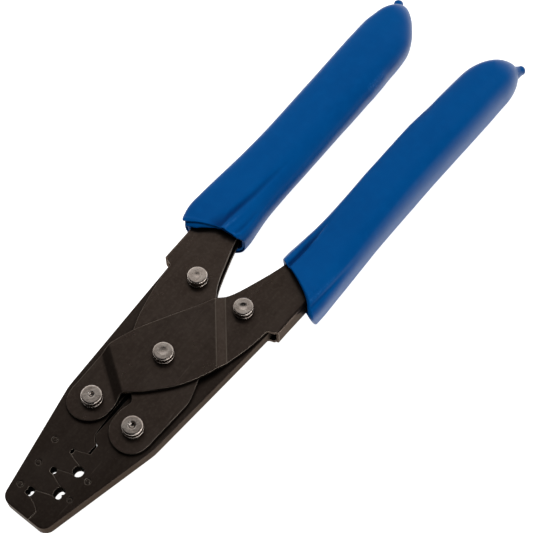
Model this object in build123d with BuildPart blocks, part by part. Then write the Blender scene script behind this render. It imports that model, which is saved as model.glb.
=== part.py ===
from build123d import *
import math
import os

# Parallel-action hand crimping pliers for open-barrel terminals.
#
# Origin: on the main pivot's axis, in the plane the tool rests on, which is the outer face of
# the main rivet's back head. The jaws are at -X and the grips at +X. +Z is the pivot axis,
# towards the front of the tool. +Y is towards lever B's grip. Rest pose: jaws closed.
# All lengths are in mm.

os.makedirs("parts", exist_ok=True)

# ---------------------------------------------------------------- driving dimensions
jaw_t = 4.0            # jaw plate thickness
sheet_t = 1.1          # lever sheet thickness
play = 0.05            # running gap between moving flat faces, per side
ear_gap = 0.1          # gap between the two crossed ears
fit = 0.03             # assembly gap between round parts of one lever
run = 0.05             # radial running clearance of the hinges

washer_t = 0.8
washer_r = 3.12
washer_chamfer = 0.16

head_h = 1.9           # rivet heads
head_r = 3.05
back_round = 0.75      # rounding of the back head's rim
front_round = 0.5      # rounding of the front head's rim
shank_r = 1.75         # jaw and guide rivets
main_shank_r = 2.25    # main rivet

sleeve_r = 2.75        # sleeves on the jaw rivets
guide_r = 2.6          # sleeves on the guide rivets
main_sleeve_r = 3.3
main_sleeve_chamfer = 0.2

jaw_pin_x, jaw_pin_y = -22.31, 7.58     # jaw rivets, at +-y
guide_x, guide_y = 25.85, 8.69          # guide rivets, at +-y
open_deg = 30.0                         # lever opening; each jaw turns by half of it

# levels, measured from the middle plane of the jaws
z_jaw = jaw_t / 2
z_in = z_jaw + play                     # inner face of a flat ear
z_out = z_in + sheet_t                  # outer face of a flat ear and of the channel
z_hi_in = z_out + ear_gap               # inner face of a raised ear
z_hi_out = z_hi_in + sheet_t            # outer face of a raised ear

# height of the middle plane above the rest plane
zm = z_hi_out + washer_t + head_h


# ---------------------------------------------------------------- helpers
def shift(points, rise):
    """Points moved along Y."""
    return [(x, y + rise) for x, y in points]


def turned(points, side):
    """Points as drawn for side 1, mirrored in the X axis for side -1."""
    return [(x, side * y) for x, y in points]


def rim_edges(part, outer_r):
    """Circular edges of the given radius."""
    return [e for e in part.edges().filter_by(GeomType.CIRCLE) if abs(e.radius - outer_r) < 1e-3]


def save(part, name):
    part.label = name
    export_step(part, f"parts/{name}.step")


# ================================================================ levers
# Outlines of lever A seen from the front, as (x, y). Lever B is the same piece turned over
# about the X axis.
heel_edge = [                           # outer edge of the ear, from the relief notch to the nose
    (24.1, -18.35), (19.5, -17.8), (15.0, -17.0), (10.0, -15.75), (6.4, -14.75), (2.8, -13.4),
    (-0.4, -11.9), (-5.9, -8.5), (-9.9, -5.0), (-12.7, -2.3), (-14.4, -0.1), (-15.5, 1.25),
    (-16.5, 1.85), (-17.6, 1.75), (-19.2, 1.3), (-22.0, 1.08), (-25.0, 1.55), (-27.5, 3.2),
    (-29.1, 5.6), (-29.6, 8.2), (-29.0, 10.8), (-27.2, 13.0), (-24.8, 14.05), (-22.0, 14.3)]
brow_edge = [                           # inner edge, from the nose over the crotch to the grip
    heel_edge[-1], (-16.0, 14.5), (-9.0, 14.75), (-6.6, 14.7), (-4.4, 14.1), (-2.0, 13.3),
    (0.9, 12.2), (4.5, 10.4), (9.6, 7.65), (16.4, 3.8), (20.5, 1.6), (23.6, 0.0),
    (27.3, -2.4), (30.0, -3.7), (35.0, -5.5), (38.6, -6.75), (46.1, -8.9)]
inner_run = [                           # inner edge of the handle
    brow_edge[-1], (60.0, -9.6), (90.0, -10.2), (120.0, -11.3), (136.0, -12.8)]
web_run = [                             # outer face of the web
    (26.2, -21.7), (38.0, -22.05), (60.0, -23.0), (90.0, -23.9), (136.0, -24.3)]
tail = [inner_run[-1], (140.0, -15.5), (140.0, -22.2), web_run[-1]]

wall_inset = 1.0                        # walls' outer edge, in from the web's outer face
wall_run = shift(web_run, wall_inset)
notch = [wall_run[0], (25.65, -20.35), (25.35, -19.5), (24.95, -18.75), heel_edge[0]]
web_bend_r = 1.0                        # outer radius of the web's two bends

# joggle bands of the front ear: a point on the low boundary, the heading across the band
# towards the raised side, and the width
nose_band_start, nose_band_deg, nose_band_w = (-14.2, 9.0), -34.6, 2.7
heel_band_start, heel_band_deg, heel_band_w = (17.5, -8.85), 129.9, 2.9
joggle_r = 2.4                          # bend radius of the joggles
joggle_shift = 0.15                     # shift of the profile's corners from the band's bounds
split_x = 1.0                           # where the two halves of the raised ear meet
raised_reach = 90                       # length of the raised flat in the joggle profile
half_size = 200                         # side of the square that keeps one half of the wall
hole_cut = 30                           # length of the hole cutters

with BuildSketch() as wall_plan:        # one wall of the channel with its ear
    with BuildLine():
        Spline(*heel_edge)
        Spline(*brow_edge)
        Spline(*inner_run)
        Polyline(*tail[:-1], wall_run[-1])
        Spline(*reversed(wall_run))
        Spline(*notch)
    make_face()


def make_ear_half(band_start, band_deg, band_w, low_reach, half_width, keep_side):
    """Front wall on one side (-1 or 1) of split_x, with the joggle of the given band."""
    heading = Vector(math.cos(math.radians(band_deg)), math.sin(math.radians(band_deg)), 0)
    across = Plane(origin=(*band_start, zm), x_dir=heading,
                   z_dir=heading.cross(Vector(0, 0, 1)))
    with BuildPart() as ear:
        with BuildSketch(across) as profile:
            with BuildLine():
                Polyline(
                    (-low_reach, z_in), (joggle_shift, z_in),
                    (band_w + joggle_shift, z_hi_in), (raised_reach, z_hi_in),
                    (raised_reach, z_hi_out), (band_w - joggle_shift, z_hi_out),
                    (-joggle_shift, z_out), (-low_reach, z_out), close=True)
            make_face()
            fillet([v for v in profile.vertices() if -5 < v.X < 8], radius=joggle_r)
        extrude(amount=half_width, both=True)
        with BuildSketch(Plane.XY.offset(zm)):
            add(wall_plan.sketch)
            with Locations((split_x + keep_side * half_size / 2, 0)):
                Rectangle(half_size, half_size, mode=Mode.INTERSECT)
        extrude(amount=12, mode=Mode.INTERSECT)
    return ear.part


# low at the nose, up over the front joggle
ear_nose = make_ear_half(nose_band_start, nose_band_deg, nose_band_w,
                         low_reach=60, half_width=90, keep_side=-1)
# high at the pivot, down to the handle's wall
ear_heel = make_ear_half(heel_band_start, heel_band_deg, heel_band_w,
                         low_reach=260, half_width=260, keep_side=1)

with BuildPart() as lever_a_channel:
    # web folded along the handle's outer edge, with its two bends
    with BuildSketch(Plane.XY.offset(zm - z_out)):
        with BuildLine():
            web_inside = shift(web_run, sheet_t)
            Spline(*web_run)
            Line(web_run[-1], web_inside[-1])
            Spline(*reversed(web_inside))
            Line(web_inside[0], web_run[0])
        make_face()
    extrude(amount=2 * z_out)
    fillet([e for e in lever_a_channel.edges()
            if e.length > 60 and abs(e.center().Z - zm) > z_out - 0.01
            and e.center().Y < -22.95], radius=web_bend_r)
    # flat back wall and ear
    with BuildSketch(Plane.XY.offset(zm - z_out)):
        add(wall_plan.sketch)
    extrude(amount=sheet_t)
    # front wall with the joggled ear
    add(ear_nose)
    add(ear_heel)
    # rivet holes
    with Locations((0, 0, zm)):
        Cylinder(main_shank_r + run, hole_cut, mode=Mode.SUBTRACT)
    with Locations((jaw_pin_x, jaw_pin_y, zm), (guide_x, -guide_y, zm)):
        Cylinder(shank_r + fit, hole_cut, mode=Mode.SUBTRACT)
save(lever_a_channel.part, "lever_a_channel")

with BuildPart() as lever_b_channel:
    add(lever_a_channel.part.rotate(Axis((0, 0, zm), (1, 0, 0)), 180))
save(lever_b_channel.part, "lever_b_channel")

# ================================================================ jaws
half_gap = 0.03        # half of the gap left between the closed jaws
rim_r = 0.25           # rounding of the jaws' outer rim
nose_corner_r = 3.2    # plan rounding at the nose
bend_r = 16.0          # plan rounding at the bend of the outer edge
slot_run = 0.06        # radial clearance of a guide sleeve in its slot
main_room_x = -0.6     # opening around the main sleeve
main_room_r = main_sleeve_r + 0.95
mark_depth = 0.14      # ring-shaped punch marks
mark_line = 0.34       # width of a mark's ring

# Outlines as (x, y); those with no name for a jaw are drawn for the upper one.
nose_x, nose_y = -59.0, 7.75
bend_x, bend_y = -23.4, 15.95
back_inner = (4.0, 1.5)
back_outer = [
    (0.0, 17.45), (24.5, 19.0), (28.6, 18.95), (31.0, 16.6), (31.0, 6.3), (27.0, 3.4), (22.0, 1.6)]
parting = [                             # shared by both jaws, from the nose past the nests
    (nose_x, -2.1), (-56.4, -2.35), (-55.9, -2.2), (-55.2, -1.1), (-54.5, 0.3), (-53.95, 2.1),
    (-51.75, 2.1), (-51.1, 0.2), (-50.5, -1.4), (-50.0, -3.0), (-46.9, -3.0), (-46.35, -1.0),
    (-45.75, 0.75), (-45.4, 1.6), (-43.8, 1.6), (-43.45, 0.75), (-43.0, -0.6), (-42.55, -1.9),
    (-42.1, -3.2), (-39.3, -3.2), (-38.85, -1.0), (-38.3, 0.9), (-37.9, 1.7), (-36.7, 1.7),
    (-36.4, 0.9), (-35.9, -0.5), (-35.2, -2.2)]
upper_tail = [                          # rest of the parting edge, to the back
    (-31.9, -2.2), (-30.9, -0.9), (-29.6, 0.1), (-25.0, 0.45), (-19.0, 0.95), (-8.0, 1.4)]
lower_tail = [
    (-34.95, -2.85), (-31.97, -2.7), (-30.85, -1.13), (-29.7, -0.05), (-22.0, -0.1), (-8.0, -0.1)]

# nest cuts: shape, its sizes (radius, semi-axes or sides), centres
end_nest = (Ellipse, (1.2, 0.6), [(-52.85, 2.4)])
shared_nests = [
    (Circle, (1.0,), [(-44.6, 2.0)]),
    (Circle, (1.6,), [(-40.7, -3.6)]),
    (Ellipse, (0.8, 0.5), [(-37.3, 1.7)])]
upper_nests = [
    (Circle, (0.62,), [(-53.43, 3.45), (-52.27, 3.45)]),
    (Rectangle, (2.4, 1.1), [(-52.85, 2.9)]),
    end_nest,
    (Ellipse, (1.67, 0.8), [(-48.45, -3.0)]),
    *shared_nests]
lower_nests = [
    end_nest,
    (Circle, (0.87,), [(-49.25, -4.1), (-47.65, -4.1)]),
    (Rectangle, (3.34, 1.2), [(-48.45, -3.5)]),
    *shared_nests]

# punch marks beside the nests: centre x, y and radius
upper_marks = [(-52.9, 6.5, 0.95), (-45.3, 6.9, 0.95), (-37.6, 7.9, 0.95)]
lower_marks = [(-48.1, -7.3, 0.8), (-41.2, -7.6, 0.95)]

# slot centreline of the upper jaw: the guide rivet's path seen from the jaw
jaw_arm = math.hypot(jaw_pin_x, jaw_pin_y)
guide_arm = math.hypot(guide_x, guide_y)
jaw_ang = math.degrees(math.atan2(jaw_pin_y, -jaw_pin_x))
guide_ang = math.degrees(math.atan2(guide_y, guide_x))


def slot_point(turn):
    """Guide rivet's centre in the upper jaw's plane when the jaw has turned by this angle."""
    guide, jaw = math.radians(guide_ang + turn), math.radians(jaw_ang + turn)
    return (jaw_pin_x + guide_arm * math.cos(guide) + jaw_arm * math.cos(jaw),
            jaw_pin_y + guide_arm * math.sin(guide) - jaw_arm * math.sin(jaw))


# the slot runs a little past both ends of the travel
slot_path = [slot_point(-0.3), slot_point(open_deg / 4), slot_point(open_deg / 2 + 0.6)]


def on_outer_rim(edge, side):
    """Whether an edge lies on the nose or on the outer edge of either jaw face."""
    x, outward = edge.center().X, side * edge.center().Y
    on_face = abs(abs(edge.center().Z - zm) - z_jaw) < 1e-3
    return on_face and (outward > 15.5 or x < -58.9
                        or (x < -56 and outward > 5.5)
                        or (x < -30 and outward > 9.5))


def make_jaw(name, side, tail_points, nests, marks):
    """Jaw plate: side 1 is the upper jaw (+Y), side -1 the lower."""
    with BuildPart() as jaw:
        with BuildSketch(Plane.XY.offset(zm - z_jaw)) as plan:
            with BuildLine():
                Polyline(
                    *shift(parting + tail_points, side * half_gap),
                    *turned([back_inner, *reversed(back_outer),
                             (bend_x, bend_y), (nose_x, nose_y)], side),
                    close=True)
            make_face()
            fillet([v for v in plan.vertices() if v.X < -58 and side * v.Y > 5],
                   radius=nose_corner_r)
            fillet([v for v in plan.vertices() if abs(v.X - bend_x) < 0.1 and side * v.Y > 10],
                   radius=bend_r)
            for shape, sizes, centres in nests:
                with Locations(*centres):
                    shape(*sizes, mode=Mode.SUBTRACT)
            # room for the main sleeve
            with Locations((main_room_x, 0)):
                Circle(main_room_r, mode=Mode.SUBTRACT)
            # pivot hole and guide slot
            with Locations((jaw_pin_x, side * jaw_pin_y)):
                Circle(sleeve_r + run, mode=Mode.SUBTRACT)
            SlotArc(ThreePointArc(*turned(slot_path, side)),
                    height=2 * (guide_r + slot_run), mode=Mode.SUBTRACT)
        extrude(amount=jaw_t)
        # punch marks in the front face
        with BuildSketch(Plane.XY.offset(zm + z_jaw - mark_depth)):
            for x, y, radius in marks:
                with Locations((x, y)):
                    Circle(radius)
                    Circle(radius - mark_line, mode=Mode.SUBTRACT)
        extrude(amount=1, mode=Mode.SUBTRACT)
        # softened outer rim
        fillet([e for e in jaw.edges() if on_outer_rim(e, side)], radius=rim_r)
    save(jaw.part, name)


make_jaw("upper_jaw", 1, upper_tail, upper_nests, upper_marks)
make_jaw("lower_jaw", -1, lower_tail, lower_nests, lower_marks)


# ================================================================ rivets, washers, sleeves
def rivet_outline(radius, seat, dimple_r, dimple_d):
    """Half section of a rivet: plain back head, shank, peened front head with its centre dimple."""
    top = seat + head_h
    # distance of a rounding's middle from both faces it joins
    back_mid = back_round * (1 - math.sqrt(0.5))
    front_mid = front_round * (1 - math.sqrt(0.5))
    # spherical dimple: ball radius, and the level halfway out
    ball = (dimple_r ** 2 + dimple_d ** 2) / (2 * dimple_d)
    dimple_mid = top - dimple_d + ball - math.sqrt(ball ** 2 - dimple_r ** 2 / 4)
    Line((0, -top), (head_r - back_round, -top))
    ThreePointArc((head_r - back_round, -top), (head_r - back_mid, -top + back_mid),
                  (head_r, -top + back_round))
    # shank between the heads, with a small bevel under the front head
    Polyline((head_r, -top + back_round), (head_r, -seat), (radius, -seat), (radius, seat),
             (head_r - 0.08, seat), (head_r, seat + 0.1), (head_r, top - front_round))
    ThreePointArc((head_r, top - front_round), (head_r - front_mid, top - front_mid),
                  (head_r - front_round, top))
    Line((head_r - front_round, top), (dimple_r, top))
    ThreePointArc((dimple_r, top), (dimple_r / 2, dimple_mid), (0, top - dimple_d))
    Line((0, top - dimple_d), (0, -top))


def make_rivet(name, x, y, radius, seat, dimple_r, dimple_d):
    with BuildPart() as rivet:
        with BuildSketch(Plane(origin=(x, y, zm), x_dir=(1, 0, 0), z_dir=(0, -1, 0))):
            with BuildLine():
                rivet_outline(radius, seat, dimple_r, dimple_d)
            make_face()
        revolve(axis=Axis((x, y, zm), (0, 0, 1)))
    save(rivet.part, name)


def make_washers(name, x, y, radius, ear_face):
    """Pair of washers, one on each outer ear face."""
    with BuildPart() as washers:
        for level in (zm + ear_face, zm - ear_face - washer_t):
            with BuildSketch(Plane.XY.offset(level)):
                with Locations((x, y)):
                    Circle(washer_r)
                    Circle(radius + fit, mode=Mode.SUBTRACT)
            extrude(amount=washer_t)
        chamfer(rim_edges(washers, washer_r), length=washer_chamfer)
    save(washers.part, name)


def make_sleeve(name, x, y, radius, outer_r, height, rim_chamfer):
    """Sleeve between the ears."""
    with BuildPart() as sleeve:
        with BuildSketch(Plane.XY.offset(zm - z_in)):
            with Locations((x, y)):
                Circle(outer_r)
                Circle(radius + fit, mode=Mode.SUBTRACT)
        extrude(amount=height)
        if rim_chamfer:
            chamfer(rim_edges(sleeve, outer_r), length=rim_chamfer)
    save(sleeve.part, name)


# name, axis x and y, shank radius, outer ear face level, dimple radius and depth
rivets = [
    ("main_pivot", 0, 0, main_shank_r, z_hi_out, 1.3, 0.12),
    ("upper_jaw", jaw_pin_x, jaw_pin_y, shank_r, z_out, 0.85, 0.7),
    ("lower_jaw", jaw_pin_x, -jaw_pin_y, shank_r, z_out, 1.1, 0.8),
    ("lever_a_guide", guide_x, -guide_y, shank_r, z_out, 1.2, 0.28),
    ("lever_b_guide", guide_x, guide_y, shank_r, z_out, 0.9, 0.1)]
# outer radius, height and rim chamfer of the sleeve on each rivet
full_height = 2 * z_in
sleeves = {
    "main_pivot": (main_sleeve_r, full_height - play, main_sleeve_chamfer),
    "upper_jaw": (sleeve_r, full_height, 0),
    "lower_jaw": (sleeve_r, full_height, 0),
    "lever_a_guide": (guide_r, full_height, 0),
    "lever_b_guide": (guide_r, full_height, 0)}

for place, x, y, radius, ear_face, dimple_r, dimple_d in rivets:
    make_rivet(f"{place}_rivet", x, y, radius, ear_face + washer_t, dimple_r, dimple_d)
    make_washers(f"{place}_washers", x, y, radius, ear_face)
    make_sleeve(f"{place}_sleeve", x, y, radius, *sleeves[place])

# ================================================================ grips
grip_t = 12.0          # grip thickness over both faces
grip_r = 2.8           # rounding of the grips' long edges
grip_wall = 1.4        # vinyl at the mouth
slack = 0.08           # between the vinyl and the channel
nub_r = 1.2            # nub on the end of each grip
nub_len = 5.0

# plan outlines at mid-height as (x, y), from the mouth round the end and back to the mouth
grip_a_outline = [
    (36.0, -25.3), (40.0, -25.95), (50.0, -26.0), (70.0, -25.9), (100.0, -26.05), (120.0, -26.55),
    (143.0, -26.95), (149.5, -26.3), (153.2, -24.6), (155.3, -21.5), (155.0, -17.2), (153.0, -14.2),
    (149.0, -11.9), (142.0, -10.6), (134.0, -9.9), (125.0, -9.45), (115.0, -8.9), (90.0, -8.5),
    (70.0, -8.35), (60.0, -7.9), (51.0, -7.0), (46.3, -7.3)]
grip_b_outline = [
    (40.0, 27.0), (46.0, 27.5), (52.0, 27.6), (80.0, 27.3), (100.0, 27.85), (120.0, 28.6),
    (137.0, 29.1), (144.0, 28.8), (149.4, 27.5), (152.7, 25.2), (153.4, 22.6), (152.0, 19.8),
    (149.2, 16.8), (144.6, 13.4), (139.7, 11.2), (134.5, 10.0), (120.0, 9.2), (100.0, 8.7),
    (80.0, 8.5), (60.0, 8.0), (50.0, 7.2), (42.6, 6.7)]
# points between the outline's two ends, across the mouth; none is a straight mouth
mouth_a = [(44.4, -13.5), (41.2, -19.5)]
mouth_b = []
# nub centrelines: start, and a point that gives the heading
nub_a = ((152.0, -24.0), (157.0, -24.6))
nub_b = ((151.5, 24.6), (156.4, 25.3))
# cavities of the flared mouths
flare_a = [(30.0, -24.45), (50.0, -24.6), (56.0, -23.4), (56.0, -9.2), (50.0, -8.5), (30.0, -8.5)]
flare_b = [
    (30.0, 25.6), (50.0, 26.1), (56.0, 25.0), (56.0, 9.6), (50.0, 8.8), (42.0, 8.0), (30.0, 8.0)]
# inner corners of the pockets at the mouth, both drawn on lever A's side
throat_a = [(26.2, -8.9 + slack)]
throat_b = [(26.2, -5.0), (38.6, -6.7 + slack)]

# the channel's tail grown by the slack
tail_pocket = [
    (x + grow_x, y + grow_y) for (x, y), grow_x, grow_y
    in zip(tail, (0, slack, slack, 0), (slack, slack, -slack, -slack))]


def make_grip(name, side, outline, mouth, nub, flare, throat):
    """Vinyl grip: side 1 is lever A's (-Y), where the channel is drawn, side -1 lever B's."""
    (nub_x, nub_y), (toward_x, toward_y) = nub
    nub_plane = Plane(origin=(nub_x, nub_y, zm), z_dir=(toward_x - nub_x, toward_y - nub_y, 0))
    with BuildPart() as grip:
        with BuildSketch(Plane.XY.offset(zm - grip_t / 2)):
            with BuildLine():
                Spline(*outline)
                if mouth:
                    Spline(outline[-1], *mouth, outline[0])
                else:
                    Line(outline[-1], outline[0])
            make_face()
        extrude(amount=grip_t)
        fillet([e for e in grip.edges() if e.length > 100], radius=grip_r)
        with Locations(nub_plane):
            Cylinder(nub_r, nub_len, align=(Align.CENTER, Align.CENTER, Align.MIN))
        # flared mouth
        with BuildSketch(Plane.XY.offset(zm - grip_t / 2 + grip_wall)):
            with BuildLine():
                Polyline(*flare, close=True)
            make_face()
        extrude(amount=grip_t - 2 * grip_wall, mode=Mode.SUBTRACT)
        # pocket for the channel
        with BuildSketch(Plane.XY.offset(zm - z_out - slack)):
            with BuildLine():
                Spline(*turned(shift(inner_run, slack), side))
                Polyline(*turned(tail_pocket, side))
                Spline(*turned(shift(reversed(web_run), -slack), side))
                Polyline(*turned([*shift(web_run[:1], -slack), *throat,
                                  *shift(inner_run[:1], slack)], side))
            make_face()
        extrude(amount=2 * (z_out + slack), mode=Mode.SUBTRACT)
    save(grip.part, name)


make_grip("lever_a_grip", 1, grip_a_outline, mouth_a, nub_a, flare_a, throat_a)
make_grip("lever_b_grip", -1, grip_b_outline, mouth_b, nub_b, flare_b, throat_b)
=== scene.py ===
# A two-lever hand tool: blackened steel channels and jaws, peened rivets and dipped blue vinyl
# grips. It lies flat, +Z up, with its handles running towards +X; lever a's grip is on the -Y
# side and lever b's on the +Y side. The jaws' middle plane, at MID_Z, halves its thickness.
# Scene units are metres. The grips and the camera's place are given in millimetres,
# with z measured from the middle plane.
import bpy
import bmesh
import math
import numpy as np
from types import SimpleNamespace
from mathutils import Vector, Matrix, noise

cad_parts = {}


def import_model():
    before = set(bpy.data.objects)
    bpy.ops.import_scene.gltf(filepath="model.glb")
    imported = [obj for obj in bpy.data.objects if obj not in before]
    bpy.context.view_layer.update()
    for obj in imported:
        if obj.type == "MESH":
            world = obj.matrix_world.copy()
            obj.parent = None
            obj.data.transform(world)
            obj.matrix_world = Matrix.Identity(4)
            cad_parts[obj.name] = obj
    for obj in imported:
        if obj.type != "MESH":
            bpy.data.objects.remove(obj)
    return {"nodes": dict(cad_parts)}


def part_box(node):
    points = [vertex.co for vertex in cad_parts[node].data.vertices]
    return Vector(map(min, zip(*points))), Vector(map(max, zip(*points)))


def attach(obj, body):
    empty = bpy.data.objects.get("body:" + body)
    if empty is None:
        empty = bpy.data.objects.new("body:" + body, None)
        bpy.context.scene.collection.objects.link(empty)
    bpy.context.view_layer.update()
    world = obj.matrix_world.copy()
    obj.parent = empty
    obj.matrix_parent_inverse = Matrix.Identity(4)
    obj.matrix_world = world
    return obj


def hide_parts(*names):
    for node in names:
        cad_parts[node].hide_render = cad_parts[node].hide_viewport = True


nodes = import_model()["nodes"]
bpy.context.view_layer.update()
scene = bpy.context.scene

MM = 0.001
jaw_low, jaw_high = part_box("upper_jaw")
MID_Z = (jaw_low.z + jaw_high.z) / 2

# the camera's heading and height, and the level directions seen from it
HEADING, ELEVATION = math.radians(37.727), math.radians(59.383)
AHEAD = Vector((math.cos(HEADING), math.sin(HEADING), 0))
RIGHT = Vector((math.sin(HEADING), -math.cos(HEADING), 0))
UP = Vector((0, 0, 1))


# ------------------------------------------------------------------ node trees
class Nodes:
    """Fills a node tree; most methods add one node and return its output."""

    def __init__(self, tree):
        self.tree = tree
        tree.nodes.clear()

    def new(self, kind, **settings):
        node = self.tree.nodes.new(kind)
        for key, value in settings.items():
            setattr(node, key, value)
        return node

    def link(self, output, socket):
        self.tree.links.new(output, socket)

    def put(self, socket, value):
        """Links an output to the socket, or sets the socket's own value."""
        if hasattr(value, "is_output"):
            self.link(value, socket)
        else:
            socket.default_value = value

    def put_all(self, sockets, values):
        for socket, value in zip(sockets, values):
            self.put(socket, value)

    def math(self, operation, *values, clamp=False):
        node = self.new("ShaderNodeMath", operation=operation, use_clamp=clamp)
        self.put_all(node.inputs, values)
        return node.outputs[0]

    def scaled(self, value, by):
        return self.math("MULTIPLY", value, by)

    def remap(self, value, span, to, smooth=False):
        """Carries the range span over to the range to, clamped."""
        kind = "SMOOTHSTEP" if smooth else "LINEAR"
        node = self.new("ShaderNodeMapRange", interpolation_type=kind)
        self.put_all(node.inputs, (value, *span, *to))
        return node.outputs[0]

    def dot(self, a, b):
        node = self.new("ShaderNodeVectorMath", operation="DOT_PRODUCT")
        self.put_all(node.inputs, (a, b))
        return node.outputs["Value"]

    def split(self, vector):
        node = self.new("ShaderNodeSeparateXYZ")
        self.link(vector, node.inputs[0])
        return node.outputs

    def ramp(self, fac, stops):
        """Colour ramp through (position, colour) stops."""
        node = self.new("ShaderNodeValToRGB")
        elements = node.color_ramp.elements
        while len(elements) < len(stops):
            elements.new(0.5)
        for element, (position, color) in zip(elements, stops):
            element.position = position
            element.color = (*color, 1)
        self.link(fac, node.inputs[0])
        return node.outputs[0]


class Material(Nodes):
    """A Principled material."""

    def __init__(self, name):
        self.mat = bpy.data.materials.new(name)
        self.mat.use_nodes = True
        super().__init__(self.mat.node_tree)
        output = self.new("ShaderNodeOutputMaterial")
        self.bsdf = self.new("ShaderNodeBsdfPrincipled")
        self.link(self.bsdf.outputs[0], output.inputs[0])

    def set(self, **values):
        for key, value in values.items():
            self.put(self.bsdf.inputs[key.replace("_", " ")], value)

    def math(self, operation, a, b=0.0, clamp=False):
        return super().math(operation, a, b, 0.0, clamp=clamp)

    def coord(self, scale=(1, 1, 1), rot=(0, 0, 0), loc=(0, 0, 0)):
        source = self.new("ShaderNodeTexCoord")
        node = self.new("ShaderNodeMapping")
        for key, value in (("Scale", scale), ("Rotation", rot), ("Location", loc)):
            node.inputs[key].default_value = value
        self.link(source.outputs["Object"], node.inputs["Vector"])
        return node.outputs[0]

    def noise(self, vector, scale, detail, rough, distort=0.0):
        node = self.new("ShaderNodeTexNoise")
        for key, value in (("Scale", scale), ("Detail", detail), ("Roughness", rough),
                           ("Distortion", distort), ("Vector", vector)):
            self.put(node.inputs[key], value)
        return node.outputs["Fac"]

    def mix(self, fac, a, b, kind="MIX"):
        node = self.new("ShaderNodeMix", data_type="RGBA", blend_type=kind)
        self.put(node.inputs[0], fac)
        for socket, value in ((node.inputs[6], a), (node.inputs[7], b)):
            self.put(socket, (*value, 1) if isinstance(value, tuple) else value)
        return node.outputs[2]

    def bump(self, height, strength, distance, normal=None):
        node = self.new("ShaderNodeBump")
        node.inputs["Strength"].default_value = strength
        node.inputs["Distance"].default_value = distance
        self.link(height, node.inputs["Height"])
        if normal is not None:
            self.link(normal, node.inputs["Normal"])
        return node.outputs[0]

    def occlusion(self, distance, span):
        """1 in narrow places such as gaps and the foot of a raised edge, 0 in the open."""
        node = self.new("ShaderNodeAmbientOcclusion", samples=10)
        node.inputs["Distance"].default_value = distance
        return self.remap(node.outputs["AO"], span=span, to=(1, 0))

    def rounded(self, radius):
        """Normal that rounds the edges."""
        node = self.new("ShaderNodeBevel", samples=6)
        node.inputs["Radius"].default_value = radius
        return node.outputs[0]

    def edge_mask(self, normal, span):
        """1 where the rounded normal turns an edge, 0 on flat faces."""
        true_normal = self.new("ShaderNodeNewGeometry").outputs["True Normal"]
        return self.remap(self.dot(normal, true_normal), span=span, to=(0, 1))


def tint(color, tone):
    return tuple(x * tone for x in color)


def toned(stops, tone):
    return [(position, tint(color, tone)) for position, color in stops]


# ------------------------------------------------------------------ blackened steel
# ramp stops: (position along the slow noise, colour)
OXIDE = [(0.30, (0.061, 0.043, 0.034)), (0.52, (0.074, 0.055, 0.045)),
         (0.75, (0.088, 0.068, 0.057))]
OXIDE_BLOTCH = (0.046, 0.033, 0.026)
OXIDE_SPECK = (0.125, 0.100, 0.084)
ROLL_STREAK = (0.115, 0.092, 0.076)
SCRATCH = (0.24, 0.20, 0.17)
BEND_MARK_AND_HIGHLIGHT = (0.30, 0.255, 0.21)
RUBBED_EDGE_AND_HIGHLIGHT = (0.50, 0.43, 0.36)
DEEP_SHADE = (0.002, 0.0015, 0.001)
OPEN_SPECULAR, SHADED_SPECULAR = (0.50, 0.47, 0.44), (0.01, 0.01, 0.01)
# scratch directions: (angle, turn per seed, noise threshold)
SCRATCHES = ((0.55, 0.3, 0.685), (-0.95, 0.2, 0.70))


def pressed_bands(side):
    """Bands of one lever's sheet; side is 1 for lever a's upper face, -1 for b's lower one.

    start (mm) and heading (degrees) place a band's first bend and the way across it,
    line_mark_and_highlight is the strength of its bend lines, partly forming marks and partly
    painted highlight, and slope scales its slope's colour: below 1 it is painted shade, above 1
    painted light."""
    return (dict(start=(-14.2, 9.0 * side), heading=-34.6 * side, width=2.7,
                 line_mark_and_highlight=0.0, slope=0.62, face=side),
            dict(start=(17.5, -8.85 * side), heading=129.9 * side, width=2.9,
                 line_mark_and_highlight=0.55, slope=1.24, face=side))


def press_band(t, base, blotch, start, heading, width, line_mark_and_highlight, slope, face):
    """Paints a pressed band's slope darker or lighter as painted shade and painted light, and
    draws lines along its two bends that are partly forming marks and partly painted highlight.
    """
    x, y, z = t.split(t.coord())
    dx, dy = math.cos(math.radians(heading)), math.sin(math.radians(heading))
    across = t.math("ADD", t.scaled(x, by=dx), t.scaled(y, by=dy))
    across = t.math("SUBTRACT", across, (start[0] * dx + start[1] * dy) * MM)
    if face > 0:
        on_face = t.remap(z, span=(MID_Z, MID_Z + 0.001), to=(0, 1))
    else:
        on_face = t.remap(z, span=(MID_Z - 0.001, MID_Z), to=(1, 0))
    off_centre = t.math("ABSOLUTE", t.math("SUBTRACT", across, width / 2 * MM))
    rim = ((width / 2 - 0.2) * MM, (width / 2 + 0.2) * MM)
    inside = t.math("MULTIPLY", t.remap(off_centre, span=rim, to=(1, 0)), on_face)
    # painted shade (slope below 1) and painted light (slope above 1) on the band's slope
    base = t.mix(inside, base, t.mix(1.0, base, (slope, slope, slope), "MULTIPLY"))
    # lines along the bends: partly forming marks, partly painted highlight
    line = t.math("ABSOLUTE", t.math("SUBTRACT", off_centre, width / 2 * MM))
    line = t.remap(line, span=(0.00006, 0.00022), to=(line_mark_and_highlight, 0))
    line = t.math("MULTIPLY", line, on_face)
    line = t.math("MULTIPLY", line, t.remap(blotch, span=(0.34, 0.60), to=(0.45, 1)))
    return t.mix(line, base, BEND_MARK_AND_HIGHLIGHT)


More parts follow.
